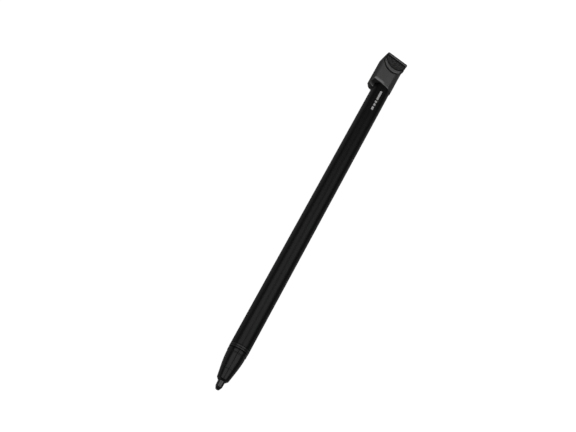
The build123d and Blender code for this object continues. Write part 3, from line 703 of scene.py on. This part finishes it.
barrel_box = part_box("barrel")
barrel_front = barrel_box[0].x / MM
barrel_r = barrel_box[1].z / MM
barrel_wall = 0.4
barrel_bore = barrel_r - barrel_wall
cap_slant = np.tan(np.radians(9.6))
cap_front = 2.25  # where the cap's face begins, on the pen's middle
cap_gap = 0.02
barrel_tail = cap_front - cap_gap
tail_r = barrel_r - cap_gap
barrel_piece = turned(
    "barrel_tube",
    [
        (barrel_front, barrel_bore, 0.05),
        (barrel_front, barrel_r, 0.07),
        (barrel_front + 20.0, barrel_r, 0),
        (-0.05, barrel_r, 0.02),
        (0.0, tail_r, 0.02),
        (barrel_tail, tail_r, 0.05),
        (barrel_tail, barrel_bore, 0.02),
    ],
    around=256,
    closed=True,
    steps=5,
)
barrel_mesh = barrel_piece.data
tube_points = np.empty(3 * len(barrel_mesh.vertices))
barrel_mesh.vertices.foreach_get("co", tube_points)
tube_points = tube_points.reshape(-1, 3)
# the slant: points move along by y * slope, from none a quarter of the way along the tail to all of it
# at three quarters
at_tail = np.clip(tube_points[:, 0] / (0.5 * barrel_tail * MM) - 0.5, 0, 1)
tube_points[:, 0] += at_tail * tube_points[:, 1] * cap_slant
barrel_mesh.vertices.foreach_set("co", tube_points.ravel())
barrel_mesh.update()

barrel_material, tree, shader = finish(
    "satin_black_coat", (0.0036, 0.0039, 0.0037), (0.0054, 0.0058, 0.0056), 0.32, bump=0.0000025, pits=5200.0,
    waves=800.0, wave_share=0.45, scratches=0.35, smudges=0.6, rubbed=(0.05, 0.05, 0.05), specular=0.42)

# the dashes: a mask from bands along the pen and across it, with worn ragged edges
place = node(tree, "ShaderNodeTexCoord")["Object"]
ragged = node(tree, "ShaderNodeTexNoise", Vector=place, Scale=3500.0, Detail=3.0)[0]
ragged = maths(tree, "MULTIPLY_ADD", ragged, 0.00016, -0.00008)
split_place = node(tree, "ShaderNodeSeparateXYZ", Vector=place)
dash_x = maths(tree, "ADD", split_place["X"], ragged)
dash_y = maths(tree, "ADD", split_place["Y"], ragged)


def band(tree, value, low, high, edge):
    """1 between low and high, falling to 0 over edge at both ends."""
    rise = maths(tree, "MULTIPLY_ADD", value, 1 / edge, -low / edge, clamp=True)
    fall = maths(tree, "MULTIPLY_ADD", value, -1 / edge, high / edge, clamp=True)
    return maths(tree, "MULTIPLY", rise, fall)


soft_edge = 0.05 * MM
dashes = 0.0
for dash_front, dash_rear in ((-3.7, -0.15), (-4.9, -4.1), (-6.1, -5.25), (-7.75, -6.45)):
    dashes = maths(tree, "MAXIMUM", dashes, band(tree, dash_x, dash_front * MM, dash_rear * MM, soft_edge))
dash_height = band(tree, dash_y, -0.02 * MM, 0.68 * MM, soft_edge)
print_mask = maths(tree, "MULTIPLY", dashes, dash_height)
print_mask = maths(tree, "MULTIPLY", print_mask, maths(tree, "GREATER_THAN", split_place["Z"], 0.0))
paint_over(tree, shader, print_mask, (0.95, 0.95, 0.95))
roughen(tree, shader, print_mask, 0.3)
barrel_mesh.materials.append(barrel_material)
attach(barrel_piece, "root")
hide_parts("barrel")

# ---- Pull cap --------------------------------------------------------------------------------------
# One plastic moulding under grey metallic lacquer, glued into the barrel by its plug. The flat face
# steps up to an arc-shaped lip for a fingernail, with a rough pocket behind it and a rim at the end.
# A key rib runs a little way down one side of the barrel.

cap_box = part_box("cap")
plug_front, cap_end = cap_box[0].x / MM, cap_box[1].x / MM
cap_back, lip_top = cap_box[0].z / MM, cap_box[1].z / MM
key_side = cap_box[1].y / MM
far_side = 3.06
face_top = 2.86
cap_middle = (key_side - far_side) / 2
rim_top = face_top + 0.3
lip_start, nail_start = 8.0, 9.1
lip_arc, nail_arc = 4.0, 4.3
pocket_floor = lip_top - 0.55
rim_start = cap_end - 0.95
front_round, end_round, edge_round = 0.22, 0.45, 0.3
far_corner, key_corner, face_corner = 2.17, 0.8, edge_round + 0.15
crease_angle = np.radians(30)  # how steeply the far side's round leaves the face
least_round = 0.03


def cap_outline(top, far_round, inset, flare):
    """Cross-sections of the cap, one row per station.

    Each is a rectangle with arcs at its four corners, from the key side's upper corner over the top,
    down the far side, and along the back. The far upper arc is stretched so that it leaves the top at
    the crease angle. inset shrinks the section all round, and flare moves the far side out. Returns y
    and z.
    """
    top, far_round, inset, flare = (np.asarray(value)[:, None] for value in (top, far_round, inset, flare))
    key_y, far_y, low = key_side - inset, -far_side - flare + inset, cap_back + inset
    top = top - inset
    near_r = np.maximum(face_corner - inset, least_round)
    far_r = np.maximum(far_round - inset, least_round)
    far_low_r, key_low_r = far_corner - inset, key_corner - inset
    quarter = np.linspace(0, np.pi / 2, 9)[None]
    round_far = np.linspace(0, np.pi / 2, 15)[None]
    crease = np.linspace(crease_angle, np.pi / 2, 15)[None]
    shoulder_out = (np.sin(crease) - np.sin(crease_angle)) / (1 - np.sin(crease_angle))
    shoulder_down = np.cos(crease) / np.cos(crease_angle)
    run = np.linspace(0, 1, 60)[None, 1:-1]
    side = np.linspace(0, 1, 16)[None, 1:-1]
    parts = [
        (key_y - near_r + near_r * np.cos(quarter), top - near_r + near_r * np.sin(quarter)),
        ((key_y - near_r) + run * (far_y + far_r - key_y + near_r), top + 0 * run),
        (far_y + far_r - far_r * shoulder_out, top - far_r + far_r * shoulder_down),
        (far_y + 0 * side, (top - far_r) + side * (low + far_low_r - top + far_r)),
        (far_y + far_low_r - far_low_r * np.cos(round_far), low + far_low_r - far_low_r * np.sin(round_far)),
        ((far_y + far_low_r) + side * (key_y - key_low_r - far_y - far_low_r), low + 0 * side),
        (key_y - key_low_r + key_low_r * np.sin(quarter), low + key_low_r - key_low_r * np.cos(quarter)),
        (key_y + 0 * side, (low + key_low_r) + side * (top - near_r - low - key_low_r)),
    ]
    y = np.concatenate([part[0] for part in parts], axis=1)
    z = np.concatenate([part[1] for part in parts], axis=1)
    return y, z


def share_of(value, low, high):
    """0 at low, 1 at high, and even between."""
    return np.clip((value - low) / (high - low), 0, 1)


def arc_shift(radius, y):
    """How far an arc runs back at y: radius - sqrt(radius^2 - d^2), d being y's distance from the middle."""
    return radius - np.sqrt(np.maximum(radius**2 - (y - cap_middle) ** 2, 0.3))


def station_shift(station, y):
    """How far a station's line runs back at y from where it crosses the cap's middle.

    The front edge is a slant that eases off by key_lead towards the key's side, the lip and the pocket
    start on arcs, and the rim is straight. Between them the shift goes evenly from one to the next.
    """
    key_lead, lead_from, lead_to = 0.4, 1.8, 4.4
    slant_end, arc_margin = 3.2, 0.2
    lip, nail = arc_shift(lip_arc, y), arc_shift(nail_arc, y)
    slant = y * cap_slant - key_lead * share_of(y, lead_from, lead_to)
    shift = slant + share_of(station, slant_end, lip_start - 2 * arc_margin) * (lip - slant)
    shift += share_of(station, lip_start + arc_margin, nail_start - arc_margin) * (nail - lip)
    shift -= share_of(station, nail_start + 0.5, rim_start - 0.3) * nail
    return shift


def end_place(z):
    """The end face: a parabola from the front edge, set back 0.5 mm halfway down and 1.6 mm at the back."""
    lean, curve = 0.4, 1.2
    fall = (rim_top - z) / (rim_top - cap_back)
    return cap_end - lean * fall - curve * fall**2


lip_lean = 0.03  # how far the lip's wall leans back
top_line, top_wear = rounded_line(
    [
        (cap_front + front_round, face_top, 0),
        (lip_start, face_top, 0.04),
        (lip_start + lip_lean, lip_top - 0.07, 0.1),
        (nail_start, lip_top - 0.04, 0.12),
        (nail_start + 0.12, pocket_floor, 0.08),
        (rim_start - 0.5, pocket_floor, 0.2),
        (rim_start - 0.05, pocket_floor - 0.3, 0.06),
        (rim_start + 0.05, rim_top, 0.12),
        (cap_end - end_round, rim_top, 0),
    ],
    steps=7,
)
# long runs get stations of their own
station_gap = 0.11
gaps = np.maximum(np.ceil(np.diff(top_line[:, 0]) / station_gap).astype(int), 1)
share = np.concatenate([np.arange(count) / count for count in gaps])
start = np.repeat(np.arange(len(gaps)), gaps)
skin_x = np.append(top_line[start, 0] + share * np.diff(top_line[:, 0])[start], top_line[-1, 0])
skin_z = np.append(top_line[start, 1] + share * np.diff(top_line[:, 1])[start], top_line[-1, 1])
skin_wear = np.append(top_wear[start] * (1 - share) + top_wear[start + 1] * share, 0)
# the front and end edges: an inset that follows a quarter circle
front_turn = np.linspace(0, np.pi / 2, 9)[:-1]
end_turn = np.linspace(0, np.pi / 2, 8)[1:]
front_x = cap_front + front_round * (1 - np.cos(front_turn))
end_x = cap_end - end_round * (1 - np.sin(end_turn))
station = np.concatenate((front_x, skin_x, end_x))
front_inset, end_inset = front_round * (1 - np.sin(front_turn)), end_round * (1 - np.cos(end_turn))
inset = np.concatenate((front_inset, 0 * skin_x, end_inset))
height = np.concatenate((np.full(len(front_turn), face_top), skin_z, np.full(len(end_turn), rim_top)))
wear_line = np.concatenate((np.sin(2 * front_turn), skin_wear, np.sin(2 * end_turn)))
# behind the lip the far side's round runs out, and the cap flares a little
far_x = station + station_shift(station, -far_side)
taper = (8.6, rim_start)
far_round = np.interp(far_x, taper, (2.9, edge_round))
far_round = np.where(station < lip_start + lip_lean, far_corner, far_round)
flare = np.interp(far_x, taper, (0.0, 0.08))
ring_y, ring_z = cap_outline(height, far_round, inset, flare)
columns = ring_y.shape[1]
ring_s = np.repeat(station[:, None], columns, axis=1)
ring_x = ring_s + station_shift(ring_s, ring_y)
ring_x += share_of(ring_s, 9.0, cap_end) ** 1.5 * (end_place(ring_z) - cap_end)
# the front edge of the face is crowned where it stands clear of the barrel, on the key's side
crown_depth, crown_length = 0.21, 1.0
crown = (1 - share_of(ring_s, cap_front, cap_front + crown_length)) ** 2
crown *= share_of(ring_y, 0.6, 1.05) * share_of(ring_z, 1.4, 2.8)
ring_z = ring_z - crown_depth * crown
# the pocket's floor is roughly textured
lump_height = 0.1
rng = np.random.default_rng(11)
lumps = rng.normal(size=ring_x.shape)
for _ in range(2):
    around_each = np.roll(lumps, 1, 0) + np.roll(lumps, -1, 0) + np.roll(lumps, 1, 1) + np.roll(lumps, -1, 1)
    lumps = (lumps + around_each) / 5
on_floor = (np.abs(ring_z - pocket_floor) < 0.004) & (ring_s > nail_start) & (ring_s < rim_start)
ring_z = ring_z + np.where(on_floor, lump_height * lumps, 0)

# the end face closes ring by ring onto its middle, and the front face opens from the plug's circle
middle_y, middle_z = cap_middle, 0.1
close = np.array((0.97, 0.9, 0.78, 0.62, 0.42, 0.2))[:, None]
end_y = middle_y + close * (ring_y[-1] - middle_y)
end_z = middle_z + close * (ring_z[-1] - middle_z)
round_place = np.arctan2(ring_z[0], ring_y[0])
plug_r, groove_r = 2.48, 2.0
groove_front, groove_rear = plug_front + 1.13, plug_front + 1.67
plug_line = rounded_line(
    [
        (plug_front, 0.0, 0),
        (plug_front, plug_r, 0.2),
        (groove_front, plug_r, 0.03),
        (groove_front, groove_r, 0.03),
        (groove_rear, groove_r, 0.03),
        (groove_rear, plug_r, 0.03),
        (cap_front, plug_r, 0),
    ],
    steps=5,
)[0][1:]
plug_x = np.repeat(plug_line[:, :1], columns, axis=1)
plug_y = plug_line[:, 1:] * np.cos(round_place)
plug_z = plug_line[:, 1:] * np.sin(round_place)
plug_x += share_of(plug_x, plug_front + 2.0, cap_front) * plug_y * cap_slant
open_out = np.array((0.35, 0.7))[:, None]
front_y = plug_y[-1] + open_out * (ring_y[0] - plug_y[-1])
front_z = plug_z[-1] + open_out * (ring_z[0] - plug_z[-1])
front_x = cap_front + front_y * cap_slant
all_x = np.concatenate((plug_x, front_x, ring_x, end_place(end_z)))
all_y = np.concatenate((plug_y, front_y, ring_y, end_y))
all_z = np.concatenate((plug_z, front_z, ring_z, end_z))
rings = len(all_x)
verts = np.stack((all_x, all_y, all_z), axis=-1).reshape(-1, 3) * MM
poles = np.array(((plug_front, 0, 0), (end_place(middle_z), middle_y, middle_z))) * MM
verts = np.concatenate((verts, poles))
faces = ring_faces(rings, columns)
step = np.arange(columns)
last = (rings - 1) * columns
on = (step + 1) % columns
front_pole, end_pole = np.full(columns, rings * columns), np.full(columns, rings * columns + 1)
faces += np.stack((front_pole, on, step), axis=-1).tolist()
faces += np.stack((end_pole, last + step, last + on), axis=-1).tolist()
ring_wear = np.repeat(wear_line[:, None], columns, axis=1)
before_skin, after_skin = len(plug_y) + len(front_y), len(end_y)
cap_wear = np.pad(ring_wear, ((before_skin, after_skin), (0, 0))).ravel()
cap_piece = make_piece("pull_cap_moulding", verts, faces, np.append(cap_wear, (0, 0)))

# the key rib: the cross-section between the barrel and a box, cut back at the front by a round that
# runs in every direction, at distance barrel_r + round * sin(turn) from the axis
key_front, key_round, key_top, key_top_round = 1.25, 2.1, 0.3, 0.5
key_rear, no_limit = (3.8, 4.6), (8.0, 8.0)
proud = 0.005  # so that no two faces of the rib and the cap lie in one plane
key_turn = np.radians(np.linspace(4, 90, 18))
key_x = np.concatenate((key_front + key_round * (1 - np.cos(key_turn)), key_rear))
key_limit = np.concatenate((barrel_r + key_round * np.sin(key_turn), no_limit))
hug = barrel_r + cap_gap
ledge_angle, low_angle = np.arcsin(key_top / hug), np.radians(-74)
hug_angle = np.linspace(ledge_angle, low_angle, 36)
hug_y, hug_z = hug * np.cos(hug_angle), hug * np.sin(hug_angle)
box_line, _ = rounded_line(
    [
        (hug_y[-1], cap_back + proud, 0),
        (key_side + 0.004, cap_back + proud, key_corner),
        (key_side + 0.004, key_top, key_top_round),
        (hug_y[0], key_top, 0),
    ],
    steps=12,
)
gap = np.linspace(0, 1, 7)[1:-1, None]
key_wall = box_line[12] + gap * (box_line[13] - box_line[12])
box_line = np.concatenate((box_line[:13], key_wall, box_line[13:]))
reach = np.linalg.norm(box_line, axis=1)
key_scale = np.minimum(key_limit[:, None] / reach, 1.0)
key_scale = np.maximum(key_scale, hug / reach)
outer_y, outer_z = box_line[:, 0] * key_scale, box_line[:, 1] * key_scale
inner_y = np.repeat(hug_y[None], len(key_x), axis=0)
inner_z = np.repeat(hug_z[None], len(key_x), axis=0)
key_y = np.hstack((outer_y, inner_y[:, 1:-1]))
key_z = np.hstack((outer_z, inner_z[:, 1:-1]))
key_columns = key_y.shape[1]
key_rows = np.repeat(key_x[:, None], key_columns, axis=1)
key_verts = np.stack((key_rows, key_y, key_z), axis=-1).reshape(-1, 3) * MM
key_faces = ring_faces(len(key_x), key_columns)
key_end = (len(key_x) - 1) * key_columns
key_faces += [list(range(key_columns))[::-1], list(range(key_end, key_end + key_columns))]
key_wear = np.clip(1 - (key_x - key_front) / key_round, 0, 1)
key_piece = make_piece("key_rib", key_verts, key_faces, np.repeat(key_wear, key_columns))

# the two are one moulding
joiner = cap_piece.modifiers.new("join", "BOOLEAN")
joiner.operation = "UNION"
joiner.solver = "EXACT"
joiner.object = key_piece
cap_mesh = bpy.data.meshes.new_from_object(cap_piece.evaluated_get(bpy.context.evaluated_depsgraph_get()))
cap_piece.modifiers.clear()
cap_piece.data = cap_mesh
bpy.data.objects.remove(key_piece)
cap_mesh.name = "pull_cap_moulding"
cap_mesh.shade_smooth()
cap_mesh.set_sharp_from_angle(angle=np.radians(32))

# where the pocket is: behind the nail arc, in front of the rim, and low
at = np.empty(3 * len(cap_mesh.vertices))
cap_mesh.vertices.foreach_get("co", at)
at = at.reshape(-1, 3) / MM
from_arc = nail_arc - np.hypot(at[:, 0] - nail_start - nail_arc, at[:, 1] - cap_middle)
pocket = np.clip(from_arc / 0.12, 0, 1) * np.clip((rim_start - at[:, 0]) / 0.08, 0, 1) * (at[:, 2] > 2.5)
# painted shade lies along the foot of the lip, behind its ridge, and in front of the rim, where these
# recesses fall in shade
from_lip = lip_arc - np.hypot(at[:, 0] - lip_start - lip_arc, at[:, 1] - cap_middle)
at_foot = (from_lip > -0.16) & (from_lip < 0.3) & (at[:, 2] < lip_top - 0.2)
foot = at_foot * share_of(at[:, 1], -1.9, -1.1)
behind = np.clip(1.3 - np.abs(from_arc - 0.4) / 0.35, 0, 1) * (at[:, 2] < pocket_floor + 0.2)
behind *= share_of(at[:, 1], -3.0, -2.4)
before_rim = np.clip(1 - np.abs(at[:, 0] - rim_start + 0.15) / 0.32, 0, 1) * (from_arc > 0)
painted_recess_shade = np.maximum(np.where(from_arc < 0, foot, 0.85 * behind), before_rim * (at[:, 2] < rim_top - 0.12))
painted_recess_shade *= at[:, 2] > 2.3
# painted shade on the faces that look towards the nose, which turn away from the light
look = np.empty(3 * len(cap_mesh.polygons))
cap_mesh.polygons.foreach_get("normal", look)
nose_side_shade = share_of(-look[0::3], 0.55, 0.85)
cap_masks = (("painted_recess_shade", "POINT", painted_recess_shade), ("nose_side_shade", "FACE", nose_side_shade), ("pocket", "POINT", pocket))
for mask_name, domain, values in cap_masks:
    layer = cap_mesh.attributes.new(mask_name, "FLOAT", domain)
    layer.data.foreach_set("value", values.astype(np.float32))

cap_metal = 0.92
cap_material, tree, shader = finish(
    "cap_grey_lacquer", (0.24, 0.24, 0.24), (0.29, 0.29, 0.29), 0.33, pits=4200.0, waves=1100.0,
    wave_share=0.4, scratches=0.5, smudges=0.6, rubbed=(0.36, 0.36, 0.36), metal=cap_metal)
shader.inputs["Specular Tint"].default_value = (0.25, 0.25, 0.25, 1.0)
# grime and rough tooling darken the pocket
grime_place = node(tree, "ShaderNodeTexCoord")["Object"]
grime = node(tree, "ShaderNodeTexNoise", Vector=grime_place, Scale=2200.0, Detail=5.0, Roughness=0.7)[0]
grime = maths(tree, "MULTIPLY_ADD", grime, 1.8, 0.0, clamp=True)
in_pocket = node(tree, "ShaderNodeAttribute", {"attribute_name": "pocket"})["Fac"]
grime_mask = maths(tree, "MULTIPLY", in_pocket, grime)
painted_recess_shade_mask = node(tree, "ShaderNodeAttribute", {"attribute_name": "painted_recess_shade"})["Fac"]
nose_side_shade_mask = node(tree, "ShaderNodeAttribute", {"attribute_name": "nose_side_shade"})["Fac"]
# painted shade: the recess shade and, at 0.72, the nose-side shade paint near black over the lacquer, take
# away its metal and add roughness
painted_shade_mask = maths(tree, "MAXIMUM", painted_recess_shade_mask, maths(tree, "MULTIPLY", nose_side_shade_mask, 0.72))
paint_over(tree, shader, grime_mask, (0.08, 0.08, 0.08))
paint_over(tree, shader, painted_shade_mask, (0.008, 0.008, 0.008))
tree.links.new(maths(tree, "MULTIPLY_ADD", painted_shade_mask, -cap_metal, cap_metal), shader.inputs["Metallic"])
roughen(tree, shader, maths(tree, "MAXIMUM", painted_shade_mask, grime_mask), 0.25)
cap_mesh.materials.clear()
cap_mesh.materials.append(cap_material)
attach(cap_piece, "root")
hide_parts("cap")
